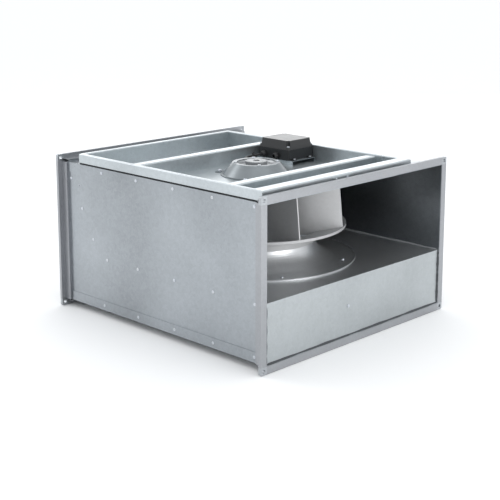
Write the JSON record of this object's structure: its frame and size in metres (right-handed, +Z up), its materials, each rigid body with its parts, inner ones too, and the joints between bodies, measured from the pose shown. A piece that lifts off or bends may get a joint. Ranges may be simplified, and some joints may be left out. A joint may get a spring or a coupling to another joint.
{
  "type": "inline duct fan",
  "caption": "Rectangular inline duct fan with flanged ends, a lift-off top cover carrying an external-rotor motor, and a backward-curved centrifugal impeller over an inlet ring.",
  "frame": {"origin": "centre of the underside of the bounding box, level with the lowest flange edges", "axes": "+X along the airflow, from the inlet flange to the outlet flange; +Y to the left when looking along the airflow; +Z up, through the motor axis's direction, towards the lift-off cover"},
  "size_m": [0.8, 0.74, 0.47],
  "materials": {
    "galvanised_sheet": "bright galvanised, soft cloudy reflections",
    "flange_profile": "galvanised profile",
    "corner_bracket": "pressed galvanised corner",
    "cover_sheet": "bright galvanised",
    "inner_sheet": "galvanised, mirror-like inside the duct",
    "baffle_sheet": "bright galvanised",
    "bracket_sheet": "galvanised",
    "spun_sheet": "spun, fine turning lines",
    "impeller_sheet": "satin",
    "dome_sheet": "pressed, satin",
    "zinc_fastener": "bright zinc",
    "motor_casting": "machined casting",
    "rotor_casting": "die-cast",
    "lamination_steel": "laminated",
    "copper_winding": "enamelled copper",
    "bearing_steel": "ground steel",
    "box_plastic": "black, semi-gloss",
    "lid_plastic": "black, glossy",
    "gland_plastic": "black",
    "terminal_plastic": "ivory",
    "lead_sheath": "black sheath",
    "rubber_grommet": "black",
    "foam_seal": "black foam"
  },
  "bodies": {
    "casing": {"right_side_panel": "galvanised_sheet", "left_side_panel": "galvanised_sheet", "bottom_panel": "galvanised_sheet", "top_panel": "galvanised_sheet", "inlet_flange_top": "flange_profile", "inlet_flange_bottom": "flange_profile", "inlet_flange_left": "flange_profile", "inlet_flange_right": "flange_profile", "outlet_flange_top": "flange_profile", "outlet_flange_bottom": "flange_profile", "outlet_flange_left": "flange_profile", "outlet_flange_right": "flange_profile", "inlet_corner_brackets": "corner_bracket", "outlet_corner_brackets": "corner_bracket", "partition_plate": "inner_sheet", "inlet_baffle": "inner_sheet", "outlet_baffle": "baffle_sheet", "inlet_ring": "spun_sheet", "sheet_screws": "zinc_fastener", "panel_rivets": "zinc_fastener", "cover_gasket": "foam_seal"},
    "fan_unit": {"cover_tray": "cover_sheet", "inlet_side_rib": "cover_sheet", "outlet_side_rib": "cover_sheet", "inlet_holddown_bracket": "bracket_sheet", "outlet_holddown_bracket": "bracket_sheet", "holddown_screws": "zinc_fastener", "motor_dome": "dome_sheet", "dome_bolts": "zinc_fastener", "motor_flange_screws": "zinc_fastener", "stator_flange": "motor_casting", "stator_core": "lamination_steel", "stator_winding": "copper_winding", "motor_bearings": "bearing_steel", "terminal_bracket": "bracket_sheet", "terminal_box_base": "box_plastic", "terminal_block": "terminal_plastic", "box_screws": "zinc_fastener", "motor_lead": "lead_sheath", "lead_grommet": "rubber_grommet", "cable_glands": "gland_plastic"},
    "rotor": {"rotor_shell": "rotor_casting", "rotor_shaft": "bearing_steel", "impeller_backplate": "impeller_sheet", "impeller_shroud": "impeller_sheet", "impeller_blade_1": "impeller_sheet", "impeller_blade_2": "impeller_sheet", "impeller_blade_3": "impeller_sheet", "impeller_blade_4": "impeller_sheet", "impeller_blade_5": "impeller_sheet", "impeller_blade_6": "impeller_sheet", "impeller_blade_7": "impeller_sheet", "impeller_blade_8": "impeller_sheet", "hub_bolts": "zinc_fastener", "balance_clips": "zinc_fastener"},
    "terminal_lid": {"terminal_lid": "lid_plastic", "lid_screws": "zinc_fastener"}
  },
  "joints": [
    {"name": "cover_lift", "type": "slide", "parent": "casing", "child": "fan_unit", "axis": [0, 0, 1], "range_m": [0, 0.26]},
    {"name": "rotor_spin", "type": "hinge", "parent": "fan_unit", "child": "rotor", "pos_m": [0.065, -0.042, 0.386], "axis": [0, 0, 1], "continuous": true},
    {"name": "lid_lift", "type": "slide", "parent": "fan_unit", "child": "terminal_lid", "axis": [0, 0, 1], "range_m": [0, 0.06]}
  ]
}
